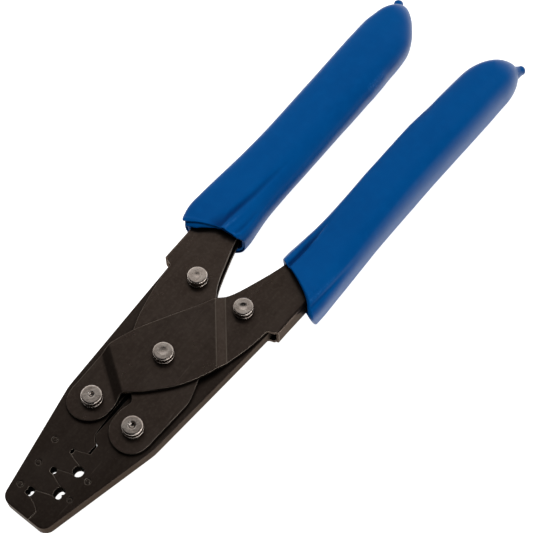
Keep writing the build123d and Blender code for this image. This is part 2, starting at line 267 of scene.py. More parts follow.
def scratches(t, vector, seed):
    """Mask of long scratches in two directions, each broken into patches."""
    mask = None
    for i, (angle, turn, threshold) in enumerate(SCRATCHES):
        stretched = t.coord(scale=(55, 1500, 55), rot=(0, 0, angle + turn * seed),
                            loc=(seed * 0.3 + i, i * 0.7, 0))
        one = t.remap(t.noise(stretched, scale=1, detail=2, rough=0.5),
                      span=(threshold, threshold + 0.05), to=(0, 0.22))
        patches = t.noise(vector, scale=60 + 15 * i, detail=2, rough=0.5)
        one = t.math("MULTIPLY", one, t.remap(patches, span=(0.50, 0.62), to=(0, 1)))
        mask = one if mask is None else t.math("MAXIMUM", mask, one)
    return mask


def blackened_steel(name, seed, tone, rough=0.29, bands=()):
    """Brownish-black oxide finish: mottled, faintly scratched, lighter at its edges, partly rubbed
    and partly painted highlight.
    """
    t = Material(name)
    v = t.coord(loc=(seed * 0.37, seed * 0.11, seed * 0.05))
    cloud = t.noise(v, scale=42, detail=4, rough=0.5)
    blotch = t.noise(v, scale=170, detail=4, rough=0.6, distort=0.6)
    fine = t.noise(v, scale=1100, detail=3, rough=0.6)
    grain = t.noise(v, scale=4200, detail=2, rough=0.6)
    base = t.ramp(cloud, toned(OXIDE, tone))
    base = t.mix(t.remap(blotch, span=(0.40, 0.72), to=(0, 0.40)), base,
                 tint(OXIDE_BLOTCH, tone))
    base = t.mix(t.remap(fine, span=(0.46, 0.78), to=(0, 0.40)), base, tint(OXIDE_SPECK, tone))
    # streaks along the rolling direction
    rolled = t.coord(scale=(18, 620, 620), loc=(seed * 0.2, 0, 0))
    roll = t.noise(rolled, scale=1, detail=3, rough=0.55)
    base = t.mix(t.remap(roll, span=(0.45, 0.75), to=(0, 0.25)), base, tint(ROLL_STREAK, tone))
    scratch = scratches(t, v, seed)
    base = t.mix(scratch, base, tint(SCRATCH, tone))
    for band in bands:
        base = press_band(t, base, blotch, **band)
    # edges lighter, partly real rubbing and partly painted highlight; painted shade in gaps
    normal = t.rounded(radius=0.00034)
    edge = t.edge_mask(normal, span=(0.985, 0.76))
    rub_and_highlight = t.math("MULTIPLY", edge, t.remap(blotch, span=(0.36, 0.62), to=(0.35, 1)),
                  clamp=True)
    base = t.mix(t.scaled(rub_and_highlight, by=0.85), base, RUBBED_EDGE_AND_HIGHLIGHT)
    shade = t.occlusion(distance=0.0034, span=(0.34, 0.80))
    base = t.mix(t.scaled(shade, by=0.94), base, DEEP_SHADE)
    roughness = t.math("ADD", t.remap(cloud, span=(0.3, 0.7), to=(rough - 0.04, rough + 0.06)),
                       t.remap(blotch, span=(0.3, 0.7), to=(-0.03, 0.07)))
    roughness = t.math("ADD", roughness, t.scaled(shade, by=0.3))
    t.set(Base_Color=base, Metallic=0.95, Roughness=roughness,
          Specular_Tint=t.mix(shade, OPEN_SPECULAR, SHADED_SPECULAR))
    height = t.math("ADD", t.scaled(fine, by=0.6), t.scaled(grain, by=0.5))
    height = t.math("SUBTRACT", height, t.scaled(scratch, by=0.8))
    normal = t.bump(blotch, strength=0.09, distance=0.0003, normal=normal)
    t.set(Normal=t.bump(height, strength=0.15, distance=0.00006, normal=normal))
    return t.mat


# ------------------------------------------------------------------ bright steel
RIVET_WARM = [(0.30, (0.54, 0.455, 0.40)), (0.52, (0.66, 0.575, 0.515)),
              (0.72, (0.76, 0.685, 0.62))]
RIVET_POCK = (0.24, 0.205, 0.18)
RIVET_EDGE_HIGHLIGHT = (0.88, 0.87, 0.85)
RIVET_SHADE = (0.036, 0.029, 0.024)
SLEEVE_GREY = [(0.3, (0.24, 0.22, 0.20)), (0.7, (0.42, 0.39, 0.36))]
SLEEVE_OIL = (0.12, 0.10, 0.09)


def rivet_steel(name, seed, dents, size, tone=1.0):
    """Warm satin steel with hammer marks on its ends only; size is the dents' noise scale."""
    t = Material(name)
    v = t.coord(loc=(seed * 0.21, seed * 0.4, 0))
    dent = t.noise(v, scale=size, detail=2, rough=0.55, distort=0.8)
    pock = t.noise(v, scale=size * 2.6, detail=3, rough=0.6)
    fine = t.noise(v, scale=5200, detail=3, rough=0.6)
    facing = t.split(t.new("ShaderNodeNewGeometry").outputs["Normal"])["Z"]
    end = t.remap(t.math("ABSOLUTE", facing), span=(0.45, 0.95), to=(0, 1))
    base = t.ramp(dent, toned(RIVET_WARM, tone))
    pocks = t.math("MULTIPLY", t.remap(pock, span=(0.58, 0.72), to=(0, 0.45)), end)
    base = t.mix(pocks, base, RIVET_POCK)
    normal = t.rounded(radius=0.00050)
    edge = t.edge_mask(normal, span=(0.985, 0.70))
    # painted highlight on the rounded edges
    base = t.mix(t.scaled(edge, by=0.7), base, RIVET_EDGE_HIGHLIGHT)
    depth = t.remap(end, span=(0, 1), to=(0.52, 0.76))
    shade = t.math("MULTIPLY", t.occlusion(distance=0.0007, span=(0.12, 0.45)), depth)
    base = t.mix(shade, base, RIVET_SHADE)
    t.set(Base_Color=base, Metallic=1.0,
          Roughness=t.remap(fine, span=(0.3, 0.7), to=(0.16, 0.28)))

    def on_ends(pattern):
        return t.math("MULTIPLY", t.math("SUBTRACT", pattern, 0.5), end)

    normal = t.bump(on_ends(dent), strength=dents, distance=0.00035, normal=normal)
    t.set(Normal=t.bump(on_ends(pock), strength=0.10, distance=0.00008, normal=normal))
    return t.mat


def sleeve_steel(name):
    """Turned spacer sleeves: plain grey steel, lightly oiled."""
    t = Material(name)
    turned = t.noise(t.coord(scale=(60, 60, 2600)), scale=1, detail=3, rough=0.6)
    spot = t.noise(t.coord(), scale=900, detail=3, rough=0.6)
    base = t.ramp(turned, SLEEVE_GREY)
    base = t.mix(t.remap(spot, span=(0.5, 0.7), to=(0, 0.5)), base, SLEEVE_OIL)
    t.set(Base_Color=base, Metallic=1.0,
          Roughness=t.remap(spot, span=(0.3, 0.7), to=(0.28, 0.46)),
          Normal=t.bump(turned, strength=0.2, distance=0.00005))
    return t.mat


# ------------------------------------------------------------------ vinyl
VINYL_BLUE = [(0.30, (0.0, 0.056, 0.212)), (0.55, (0.0, 0.062, 0.230)),
              (0.78, (0.0003, 0.070, 0.248))]
VINYL_LIGHT = (0.0006, 0.078, 0.270)
VINYL_DUST = (0.004, 0.11, 0.33)
FOLD_SHADE = (0.0, 0.016, 0.085)
RIDGE_RUB_AND_HIGHLIGHT = (0.035, 0.155, 0.42)
MOUTH_SHADE = (0.0, 0.010, 0.045)
DULL = 0.045                          # lowest specular level


def vinyl(name, seed, sheen):
    """Soft dipped vinyl: deep blue, satin, with a faint pebble and slow tone changes."""
    t = Material(name)
    v = t.coord(loc=(seed * 0.31, 0, 0))
    cloud = t.noise(v, scale=38, detail=3, rough=0.5)
    pebble = t.noise(v, scale=330, detail=4, rough=0.55)
    fine = t.noise(v, scale=2400, detail=3, rough=0.6)
    base = t.ramp(cloud, VINYL_BLUE)
    base = t.mix(t.remap(pebble, span=(0.45, 0.75), to=(0, 0.30)), base, VINYL_LIGHT)
    base = t.mix(t.remap(fine, span=(0.66, 0.86), to=(0, 0.05)), base, VINYL_DUST)
    # painted shade down in the folds; pale specks along their ridges, partly rubbed and partly
    # painted highlight
    fold = t.new("ShaderNodeAttribute", attribute_name="fold").outputs["Fac"]
    base = t.mix(t.remap(fold, span=(-0.10, -0.60), to=(0, 0.80)), base, FOLD_SHADE)
    speck = t.remap(t.noise(v, scale=1500, detail=2, rough=0.6), span=(0.50, 0.66),
                    to=(0.25, 1))
    ridge = t.remap(fold, span=(0.10, 0.36), to=(0, 0.50))
    base = t.mix(t.math("MULTIPLY", ridge, speck), base, RIDGE_RUB_AND_HIGHLIGHT)
    normal = t.rounded(radius=0.0003)
    # shade around the mouth only
    x = t.split(t.coord())[0]
    shade = t.math("MULTIPLY", t.occlusion(distance=0.0025, span=(0.12, 0.55)),
                   t.remap(x, span=(0.050, 0.056), to=(1, 0)))
    base = t.mix(t.scaled(shade, by=0.75), base, MOUTH_SHADE)
    # the sheen gathers where the skin turns away from the camera
    weight = t.new("ShaderNodeLayerWeight")
    weight.inputs["Blend"].default_value = 0.5
    facing = weight.outputs["Facing"]
    turn = t.dot(t.new("ShaderNodeNewGeometry").outputs["Normal"], RIGHT)
    specular = t.mix(t.remap(turn, span=(0, 0.35), to=(0, 1)),
                     t.remap(facing, span=(0.56, 0.98), to=(DULL, 0.50)),
                     t.remap(facing, span=(0.17, 0.52), to=(DULL, sheen)))
    # duller where the mouth was stretched over the steel
    specular = t.mix(t.remap(x, span=(0.040, 0.080), to=(0.6, 0)), specular,
                     (DULL, DULL, DULL))
    t.set(Base_Color=base, Metallic=0.0, IOR=1.45, Specular_IOR_Level=specular,
          Roughness=t.math("ADD", t.remap(fine, span=(0.3, 0.7), to=(0.30, 0.38)),
                           t.remap(cloud, span=(0.3, 0.7), to=(-0.02, 0.05))))
    height = t.math("ADD", t.scaled(fine, by=0.25), t.scaled(pebble, by=1.0))
    t.set(Normal=t.bump(height, strength=0.11, distance=0.00022, normal=normal))
    return t.mat


# lever b's sheet is a lighter copy of the same steel: painted light to lift the shade on its nose
SHEET_A = blackened_steel("blackened_sheet_a", seed=1, tone=1.07, bands=pressed_bands(1))
SHEET_B = blackened_steel("blackened_sheet_b", seed=2, tone=1.16, bands=pressed_bands(-1))
JAW = blackened_steel("blackened_jaw", seed=3, tone=0.80, rough=0.34)
RIVET = rivet_steel("rivet_steel", seed=1, dents=0.17, size=520)
RIVET_PLAIN = rivet_steel("rivet_steel_plain", seed=2, dents=0.14, size=420, tone=1.12)
WASHER = rivet_steel("washer_steel", seed=3, dents=0.05, size=500)
SLEEVE = sleeve_steel("sleeve_steel")
VINYL_A = vinyl("blue_vinyl_a", seed=1, sheen=0.75)
VINYL_B = vinyl("blue_vinyl_b", seed=2, sheen=0.42)


# ------------------------------------------------------------------ the CAD pieces
SHARP_ANGLE = math.radians(24)


def dress(node, mat):
    """Gives a CAD node its material and clean shading; its vertices stay as they are."""
    mesh = nodes[node].data
    if "custom_normal" in mesh.attributes:
        mesh.attributes.remove(mesh.attributes["custom_normal"])
    mesh.polygons.foreach_set("use_smooth", [True] * len(mesh.polygons))
    mesh.set_sharp_from_angle(angle=SHARP_ANGLE)
    mesh.materials.clear()
    mesh.materials.append(mat)


for n in nodes:
    if "channel" in n:
        dress(n, SHEET_A if n.startswith("lever_a") else SHEET_B)
    elif n in ("upper_jaw", "lower_jaw"):
        dress(n, JAW)
    elif "washers" in n:
        dress(n, WASHER)
    elif "sleeve" in n:
        dress(n, SLEEVE)
    elif "rivet" in n:
        dress(n, RIVET_PLAIN if n == "lever_b_guide_rivet" else RIVET)


# ------------------------------------------------------------------ curves
def hermite(x, stations):
    """Smooth curve y(x) through (x, y) stations in rising x."""
    px, py = np.array(stations, float).T
    gap = np.diff(px)
    rise = np.diff(py) / gap
    slope = np.empty_like(py)
    slope[0], slope[-1] = rise[0], rise[-1]
    slope[1:-1] = (rise[:-1] * gap[1:] + rise[1:] * gap[:-1]) / (px[2:] - px[:-2])
    x = np.clip(np.asarray(x, float), px[0], px[-1])
    i = np.clip(np.searchsorted(px, x) - 1, 0, len(px) - 2)
    h = px[i + 1] - px[i]
    t = (x - px[i]) / h
    return ((1 + 2 * t) * (1 - t) ** 2 * py[i] + t * (1 - t) ** 2 * h * slope[i]
            + t * t * (3 - 2 * t) * py[i + 1] + t * t * (t - 1) * h * slope[i + 1])


def through(points, count=900):
    """Evenly spaced points along a smooth curve through plan points."""
    p = np.array(points, float)
    along = np.concatenate([[0], np.cumsum(np.sqrt(((p[1:] - p[:-1]) ** 2).sum(1)))])
    q = along[-1] * np.linspace(0, 1, count)
    return np.stack([hermite(q, list(zip(along, p[:, k]))) for k in (0, 1)], 1)


def near(p, line):
    """Distance in plan from points p to a polyline, and the fraction of the way along it."""
    line = np.array(line, float)
    best = np.full(p.shape[:-1], 1e9)
    fraction = np.zeros(p.shape[:-1])
    lengths = np.sqrt(((line[1:] - line[:-1]) ** 2).sum(1))
    start = np.concatenate([[0], np.cumsum(lengths)])
    for k, length in enumerate(lengths):
        d = line[k + 1] - line[k]
        t = np.clip(((p - line[k]) @ d) / (d @ d), 0, 1)
        distance = np.sqrt((((line[k] + t[..., None] * d) - p) ** 2).sum(-1))
        closer = distance < best
        best = np.where(closer, distance, best)
        fraction = np.where(closer, (start[k] + t * length) / start[-1], fraction)
    return best, fraction


# ------------------------------------------------------------------ the grips' design, in mm
# "Outer" is the side away from the y = 0 line, "inner" the side facing it.
HALF_HEIGHT = 6.0
MOUTH_SECTION = 42.0      # x of the section that gives the mouth its y and z
SKIN_PLANE = 66.0         # from this x on, the rings are flat
POCKET_END = 143.0
NOSE = 9.5                # length over which the end loses its height
NOSE_POWER = 2.1          # superellipse power at the tip
POCKET_SQUARER = 1.6      # added to the superellipse powers inside the pocket
DRIP_RADIUS = 1.66

# edges of the mouth: (y values, x of the edge at each)
MOUTH_A_TOP = ([-27.2, -25.9, -24.2, -22.2, -19.7, -17.1, -14.1, -11.1, -9.6, -8.6, -7.4, -6.4],
               [35.9, 36.3, 37.6, 39.4, 41.1, 42.5, 43.9, 45.2, 45.7, 46.2, 47.2, 48.4])
MOUTH_A_LOW = ([-27.2, -24, -20, -14, -9, -6.4], [37.9, 39.2, 41, 43.6, 46.8, 48.6])
MOUTH_B_TOP = ([5.8, 6.6, 7.4, 8.5, 10.5, 12.9, 15.6, 18.5, 21.6, 24.2, 25.6, 27.2],
               [45.6, 44.8, 44, 43.6, 43.4, 43.2, 42.9, 41.3, 39.9, 38.7, 38.2, 38.6])
MOUTH_B_LOW = ([5.8, 7, 9, 14, 20, 24.5, 27.2], [45.6, 44.6, 43.6, 42.6, 41.4, 40.3, 40.8])
# how far grip b's lip curls back: (y values, curl at each)
CURL_B = ([9, 13, 14.6, 18, 20.7, 23.3, 25, 28], [0, 0.1, 0.35, 0.7, 1.4, 0.9, 0.6, 0.4])


# In these, y is the section's and h its height as a share of HALF_HEIGHT, -1 to 1.
def mouth_line(y, h, low, top, start, span):
    """Eases from the lower edge to the upper one as h rises through span from start."""
    low, top = np.interp(y, *low), np.interp(y, *top)
    k = np.clip((h - start) / span, 0, 1)
    return low + (top - low) * k * k * (3 - 2 * k)


def mouth_a(y, h):
    return mouth_line(y, h, MOUTH_A_LOW, MOUTH_A_TOP, start=-0.6, span=1.2)


def mouth_b(y, h):
    """The outer side of the mouth is set back between its two corners."""
    x = mouth_line(y, h, MOUTH_B_LOW, MOUTH_B_TOP, start=-0.15, span=1.0)
    return x + 3.4 * np.exp(-((h - 0.30) / 0.32) ** 2) * np.clip((y - 23.6) / 1.6, 0, 1)


def wall_b(y, h):
    return 1.4 + 0.7 * np.clip((y - 20) / 6, 0, 1)


def curl_b(y, h):
    return np.interp(y, *CURL_B) * np.clip((h + 0.1) / 0.5, 0, 1)


# outer, inner: (x, y) of the sides; height: (x, half height); lean: (x, lean of the outer
# side per mm of height); n_outer, n_inner: (x, superellipse power).
# join: x where the rounded end starts; end_outer, end_inner, tip: its (x, y) plan points.
# lip: (shift in x, share of the wall). drip_form: (share of length, share of DRIP_RADIUS).
# folds: plan line, height along the normal (negative is a groove), width, and the
# limits in z and shares of the line over which it fades, where given.
GRIP_A = SimpleNamespace(
    seed=1.0, join=141.0, pocket_wall=1.25,
    lean=[(34, 0), (46, 0.06), (60, 0.18), (80, 0.27), (141, 0.28)],
    outer=[(34, -26.6), (37, -26.85), (41, -27.09), (50, -27), (70, -26.7), (100, -26.95),
           (120, -27.48), (134, -27.79), (141, -27.92), (146, -28.1)],
    inner=[(34, -8), (43, -6.9), (47, -6.5), (50, -6.45), (55, -6.97), (62, -7.73),
           (75, -8.3), (90, -8.3), (105, -8.4), (114, -8.6), (119, -8.93), (124, -9.38),
           (130, -9.63), (137, -10), (141, -10.3), (146, -11.3)],
    height=[(34, 5.8), (45, 5.9), (60, 6), (100, 6), (141, 5.9), (150, 5.8)],
    n_outer=[(34, 4.2), (44, 3.5), (60, 2.8), (90, 2.55), (150, 2.6)],
    n_inner=[(34, 3), (44, 2.8), (52, 2.3), (64, 2.4), (82, 3), (150, 2.8)],
    end_outer=[(145, -27.9), (149, -27.3), (152.2, -26.1), (154.4, -24.4)],
    end_inner=[(145, -11), (149, -12.7), (152, -14.6), (154.3, -17)],
    tip=(155.7, -20.6),
    mouth=mouth_a,
    wall=lambda y, h: 1.35,
    lip=((0.22, 0), (0.02, 0.10), (-0.06, 0.28), (-0.06, 0.72), (0.04, 0.92), (0.30, 1)),
    curl=lambda y, h: 0.15,
    curl_from=0.0,
    folds=[
        # crease between the flat top and the flared inner lip
        dict(line=[(45, -10.2), (49.7, -10.6), (53.6, -10.6), (58.9, -10.7), (68, -10.4)],
             height=-0.95, width=0.80, fade_out=0.6),
        dict(line=[(46.6, -8.4), (52, -8.7), (58, -9), (64, -9.2)],
             height=0.30, width=0.7, fade_out=0.8),
        dict(line=[(53, -11.9), (58, -11.9), (64, -11.5), (70, -11.2)],
             height=0.28, width=0.55, fade_in=0.2, fade_out=0.5),
        # ridge running in from the outer corner, with a groove beside it
        dict(line=[(37.6, -23), (41.8, -23.5), (46.5, -23.7), (55, -23.9), (66, -24)],
             height=0.26, width=0.55, fade_out=0.7),
        dict(line=[(37, -24.4), (42, -24.7), (47, -24.9), (55, -25), (64, -25.1)],
             height=-0.30, width=0.50, z_low=0, fade_out=0.7),
        # two small bumps near the mouth
        dict(line=[(40.3, -21.7), (41.3, -21.8)], height=0.20, width=0.5, z_low=1),
        dict(line=[(43, -21.9), (44.2, -22.1)], height=0.16, width=0.5, z_low=1),
        # pinch on the inner side towards the end
        dict(line=[(112, -9.9), (119.4, -10.4), (127, -10.6)],
             height=-0.28, width=1.3, fade_in=0.3, fade_out=0.4),
    ],
    drip_base=(153.3, -23.1, 0), drip_end=(157.5, -25.2, 0),
    drip_form=((-0.35, 2), (-0.10, 1.8), (0.12, 1.58), (0.30, 1.36), (0.46, 1.16),
               (0.58, 1.04), (0.70, 1), (0.80, 0.95), (0.89, 0.8), (0.96, 0.5), (1, 0.18)),
)

GRIP_B = SimpleNamespace(
    seed=5.0, join=140.0, pocket_wall=1.2,
    lean=[(36, 0), (140, 0)],
    outer=[(36, 25.5), (39, 26), (41, 26.65), (43, 27.25), (46, 27.68), (50, 27.7),
           (60, 27.45), (80, 27.05), (100, 27.7), (120, 28.4), (132, 28.8), (140, 28.85),
           (146, 28.35)],
    inner=[(36, 7.2), (41, 6.5), (45, 5.95), (48, 5.92), (52, 6.38), (58, 7.05), (66, 7.32),
           (80, 7.49), (100, 7.95), (112, 8.25), (120, 8.49), (128, 8.82), (134, 9.11),
           (140, 9.95), (146, 12.2)],
    height=[(36, 5.8), (45, 5.8), (60, 6), (100, 6), (140, 5.9), (150, 5.8)],
    n_outer=[(36, 6), (41, 5.4), (48, 4.2), (60, 3.4), (90, 3), (150, 2.9)],
    n_inner=[(36, 3.7), (45, 3.5), (54, 2.6), (66, 2.15), (95, 2.2), (118, 2.6), (150, 2.8)],
    end_outer=[(144, 28.35), (148, 27.6), (151.2, 26.25), (153.6, 24.45)],
    end_inner=[(144, 11.5), (148, 14), (151.2, 16.5), (153.6, 19.1)],
    tip=(154.9, 22.7),
    mouth=mouth_b,
    wall=wall_b,
    lip=((0.10, 0), (-0.06, 0.05), (-0.06, 0.12), (0.30, 0.18), (0.90, 0.24), (0.95, 0.34),
         (0.40, 0.42), (0.16, 0.52), (0.08, 0.78), (0.14, 0.92), (0.34, 1)),
    curl=curl_b,
    curl_from=0.35,
    folds=[
        # deep groove from the mouth, a ridge beside it, a soft groove above the inner edge
        dict(line=[(42, 14.9), (47.4, 14.6), (52, 14.1), (58.7, 13.3), (68, 12.9), (84, 12.2)],
             height=-0.85, width=0.95, fade_out=0.95),
        dict(line=[(41.8, 12.9), (45, 12.5), (47.1, 12.2), (49, 11.9), (52.2, 11.5), (57, 11)],
             height=0.42, width=0.65, fade_out=0.8),
        dict(line=[(44.5, 9), (48.4, 8.6), (55.8, 9), (62, 9.4)],
             height=-0.32, width=0.7, fade_out=0.8),
        # three small bumps near the mouth
        dict(line=[(43, 12.8), (43.5, 12.6)], height=0.22, width=0.5, z_low=1),
        dict(line=[(43.4, 9.6), (44, 9.2)], height=0.26, width=0.5, z_low=1),
        dict(line=[(44.6, 8.3), (45, 8)], height=0.18, width=0.5, z_low=0),
        # rolled edge of the lip
        dict(line=[(39.3, 24.8), (40.7, 21.6), (41.7, 18.5), (42.7, 16.3)],
             height=0.16, width=0.42, z_low=2),
        # slow swelling of the inner side near the end
        dict(line=[(117, 9.3), (123, 9.8)], height=0.30, width=2.2, z_low=-2, z_high=5),
    ],
    drip_base=(152.6, 23.5, 0), drip_end=(156.8, 25.4, 0),
    drip_form=((-0.35, 1.25), (-0.12, 1.28), (0.06, 1.2), (0.20, 1.08), (0.32, 1), (0.44, 0.96),
               (0.58, 0.98), (0.72, 1.02), (0.82, 0.98), (0.90, 0.82), (0.97, 0.5), (1, 0.2)),
)


# ------------------------------------------------------------------ the grips' surface
RING = 120                # points round a section
ANGLES = (np.arange(RING) + 0.5) / RING * 2 * math.pi
COS, SIN = np.cos(ANGLES), np.sin(ANGLES)     # COS < 0 is the outer side
END_STEPS = 46
DRIP_SIDES = 32


def superellipse(n_outer, n_inner):
    """Unit section: place across (outer side -1, inner side 1) and place in height."""
    n = np.where(COS < 0, n_outer, n_inner)
    return np.sign(COS) * np.abs(COS) ** (2 / n), np.sign(SIN) * np.abs(SIN) ** (2 / n)


def lean_in(lean, z, across):
    """How far the outer side leans inwards above z = -2."""
    return lean * np.clip(z + 2.0, 0, None) * np.clip(-across, 0, 1) ** 2


def ring_at(form, xs, inset=0.0, squarer=0.0):
    """Section points at the given x for each angle, shrunk inwards by inset."""
    across, rise = superellipse(hermite(xs, form.n_outer) + squarer,
                                hermite(xs, form.n_inner) + squarer)
    outer, inner = hermite(xs, form.outer), hermite(xs, form.inner)
    inwards = np.sign(inner - outer)
    outer, inner = outer + inwards * inset, inner - inwards * inset
    z = (hermite(xs, form.height) - inset) * rise
    y = (outer + inner) / 2 + (inner - outer) / 2 * across
    return np.stack([xs, y + inwards * lean_in(hermite(xs, form.lean), z, across), z], 1)


def two_rates(start, middle, first, second):
    """Fractions from start to 1, with a change of spacing at middle."""
    return np.concatenate([np.linspace(start, middle, first),
                           np.linspace(middle, 1, second)[1:]])


def end_line(form, side):
    """Plan line of one side of the rounded end, from the join to the tip."""
    stations = getattr(form, side)
    start = [(x, float(hermite(x, stations))) for x in (form.join - 2, form.join)]
    line = through(start + getattr(form, "end_" + side) + [form.tip])
    return line[np.argmax(line[:, 0] >= form.join):]


def rounded_end(form):
    """Rings of the closed end, each spanning its two side lines."""
    outer, inner = end_line(form, "outer"), end_line(form, "inner")
    n_outer, n_inner, height, lean = (
        float(hermite(form.join, stations))
        for stations in (form.n_outer, form.n_inner, form.height, form.lean))
    rings = []
    for t in 1 - (1 - np.linspace(0, 1, END_STEPS + 1)[1:-1]) ** 1.6:
        a, b = outer[int(t * (len(outer) - 1))], inner[int(t * (len(inner) - 1))]
        across, rise = superellipse(n_outer + (NOSE_POWER - n_outer) * t,
                                    n_inner + (NOSE_POWER - n_inner) * t)
        centre = (a + b) / 2
        left = np.hypot(*(np.array(form.tip) - centre))
        z = height * math.sqrt(max(0.0, 1 - max(0.0, 1 - left / NOSE) ** 2.2)) * rise
        p = centre[None, :] + (b - a)[None, :] / 2 * across[:, None]
        shift = lean_in(lean, z, across) * (1 - t)
        inwards = (b - a) / np.hypot(*(b - a))
        rings.append(np.stack([p[:, 0] + inwards[0] * shift, p[:, 1] + inwards[1] * shift, z], 1))
    return rings


def outer_skin(form, mouth):
    """Rings from the mouth to the tip."""
    rings = [ring_at(form, mouth + (SKIN_PLANE - mouth) * f)
             for f in two_rates(0.012, 0.30, first=34, second=56)]
    rings += [ring_at(form, np.full(RING, x))
              for x in np.arange(SKIN_PLANE + 1.0, form.join + 0.01, 1.0)]
    return np.array(rings + rounded_end(form))


def lip_rings(form, mouth, wall, curl):
    """The cut end of the wall, slightly rounded."""
    rings = []
    for shift, share in form.lip:
        xs = mouth + shift - curl * min(1.0, max(0.0, (share - form.curl_from) / 0.45))
        rings.append(ring_at(form, xs, share * wall))
    return rings


def pocket_rings(form, mouth, wall, curl):
    """The pocket for the channel."""
    rings = []
    for f in two_rates(0.05, 0.5, first=8, second=5):
        xs = mouth - curl + 0.3 + (SKIN_PLANE - mouth + curl - 0.3) * f
        rings.append(ring_at(form, xs, wall + (form.pocket_wall - wall) * f,
                             squarer=POCKET_SQUARER * f))
    for x in np.arange(SKIN_PLANE + 6.0, POCKET_END, 6.0):
        rings.append(ring_at(form, np.full(RING, x), form.pocket_wall, POCKET_SQUARER))
    rings.append(ring_at(form, np.full(RING, POCKET_END), form.pocket_wall + 0.3,
                         POCKET_SQUARER))
    return rings


def skin_normals(skin):
    along = np.gradient(skin, axis=0)
    around = np.roll(skin, -1, 1) - np.roll(skin, 1, 1)
    normals = np.cross(around, along)
    normals /= np.maximum(np.linalg.norm(normals, axis=2, keepdims=True), 1e-9)
    outwards = skin - skin.mean(1, keepdims=True)
    return normals * np.sign((normals * outwards).sum(2, keepdims=True))


def fold_relief(skin, line, height, width, z_low=0.5, z_high=9, fade_in=0, fade_out=0):
    """Height of one fold over the skin."""
    distance, fraction = near(skin[..., :2], line)
    fade = np.ones_like(fraction)
    if fade_in:
        fade = fade * np.clip(fraction / fade_in, 0, 1)
    if fade_out:
        fade = fade * np.clip((1 - fraction) / fade_out, 0, 1) ** 1.3
    z = skin[..., 2]
    gate = np.clip((z - z_low) / 0.8, 0, 1) * np.clip((z_high - z) / 0.8, 0, 1)
    return height * np.exp(-(distance / width) ** 2) * fade * gate


def add_waves(relief, skin, seed):
    """Adds slow and quick waves of the skin to its relief."""
    # height, frequency along x, frequency along y and z, place in the noise
    waves = ((0.10, 0.055, 0.09, Vector((seed, 3, 7))),
             (0.035, 0.21, 0.30, Vector((9, seed, 1))))
    for i, j in np.ndindex(relief.shape):
        p = Vector(skin[i, j])
        for height, fx, fyz, place in waves:
            relief[i, j] += height * noise.noise(Vector((p.x * fx, p.y * fyz, p.z * fyz)) + place)


def bridge(bm, rows):
    """Quads between neighbouring closed rows of vertices."""
    for a, b in zip(rows[:-1], rows[1:]):
        for j in range(len(a)):
            k = (j + 1) % len(a)
            bm.faces.new((a[j], a[k], b[k], b[j]))


def add_point(bm, p):
    return bm.verts.new((p[0] * MM, p[1] * MM, p[2] * MM + MID_Z))


def fan(bm, ring, centre, turn):
    """Closes a ring with triangles; turn is 1 or -1 for their winding."""
    cap = add_point(bm, centre)
    for j in range(RING):
        bm.faces.new((cap, *(ring[j], ring[(j + 1) % RING])[::turn]))


def finish_object(bm, name):
    bmesh.ops.recalc_face_normals(bm, faces=bm.faces)
    mesh = bpy.data.meshes.new(name)
    bm.to_mesh(mesh)
    bm.free()
    ob = bpy.data.objects.new(name, mesh)
    scene.collection.objects.link(ob)
    return ob


def sleeve_object(name, form):
    """Outer skin, lip and pocket as one closed surface."""
    section = ring_at(form, np.full(RING, MOUTH_SECTION))
    y, h = section[:, 1], section[:, 2] / HALF_HEIGHT
    mouth, wall, curl = form.mouth(y, h), form.wall(y, h), form.curl(y, h)
    skin = outer_skin(form, mouth)
    lip = lip_rings(form, mouth, wall, curl)
    pocket = pocket_rings(form, mouth, wall, curl)

    relief = np.zeros(skin.shape[:2])
    for fold in form.folds:
        relief += fold_relief(skin, **fold)
    folds = relief.copy()
    add_waves(relief, skin, form.seed)
    offset = skin_normals(skin) * relief[..., None]
    skin = skin + offset
    # the lip and the start of the pocket follow the skin's edge
    lip = [p + offset[0] * (1 - 0.55 * share) for p, (_, share) in zip(lip, form.lip)]
    pocket = [p + offset[0] * max(0.0, 0.45 - 0.25 * j) for j, p in enumerate(pocket)]

    bm = bmesh.new()
    rows = [[add_point(bm, p) for p in ring] for ring in list(skin[::-1]) + lip + pocket]
    bridge(bm, rows)
    fan(bm, rows[0], (form.tip[0] - 0.02, form.tip[1], 0.0), turn=-1)
    fan(bm, rows[-1], pocket[-1].mean(0), turn=1)
    ob = finish_object(bm, name)
    depth = np.zeros(len(ob.data.vertices))
    depth[:folds.size] = folds[::-1].reshape(-1)
    ob.data.attributes.new("fold", "FLOAT", "POINT").data.foreach_set("value", depth)
    return ob


def drip_object(name, form):
    """The drip left at the end of the dipped sleeve."""
    base, end = Vector(form.drip_base), Vector(form.drip_end)
    axis = (end - base).normalized()
    side = axis.cross(UP).normalized()
    over = side.cross(axis)
    length = (end - base).length
    lift = Vector((0, 0, MID_Z))
    bm = bmesh.new()
    rows = []
    for along, share in form.drip_form:
        centre, radius = base + axis * (along * length), share * DRIP_RADIUS
        rows.append([
            bm.verts.new((centre + (side * math.cos(q) + over * math.sin(q)) * radius) * MM + lift)
            for q in np.linspace(0, 2 * math.pi, DRIP_SIDES + 1)[:-1]])
    bridge(bm, rows)
    bm.faces.new(rows[0][::-1])
    bm.faces.new(rows[-1])
    return finish_object(bm, name)


def join_drip(ob, drip):
    cut = ob.modifiers.new("drip", "BOOLEAN")
    cut.operation = "UNION"
    cut.solver = "EXACT"
    cut.object = drip
    depsgraph = bpy.context.evaluated_depsgraph_get()
    joined = bpy.data.meshes.new_from_object(ob.evaluated_get(depsgraph))
    ob.modifiers.clear()
    ob.data = joined
    bpy.data.objects.remove(drip)
    joined.name = ob.name


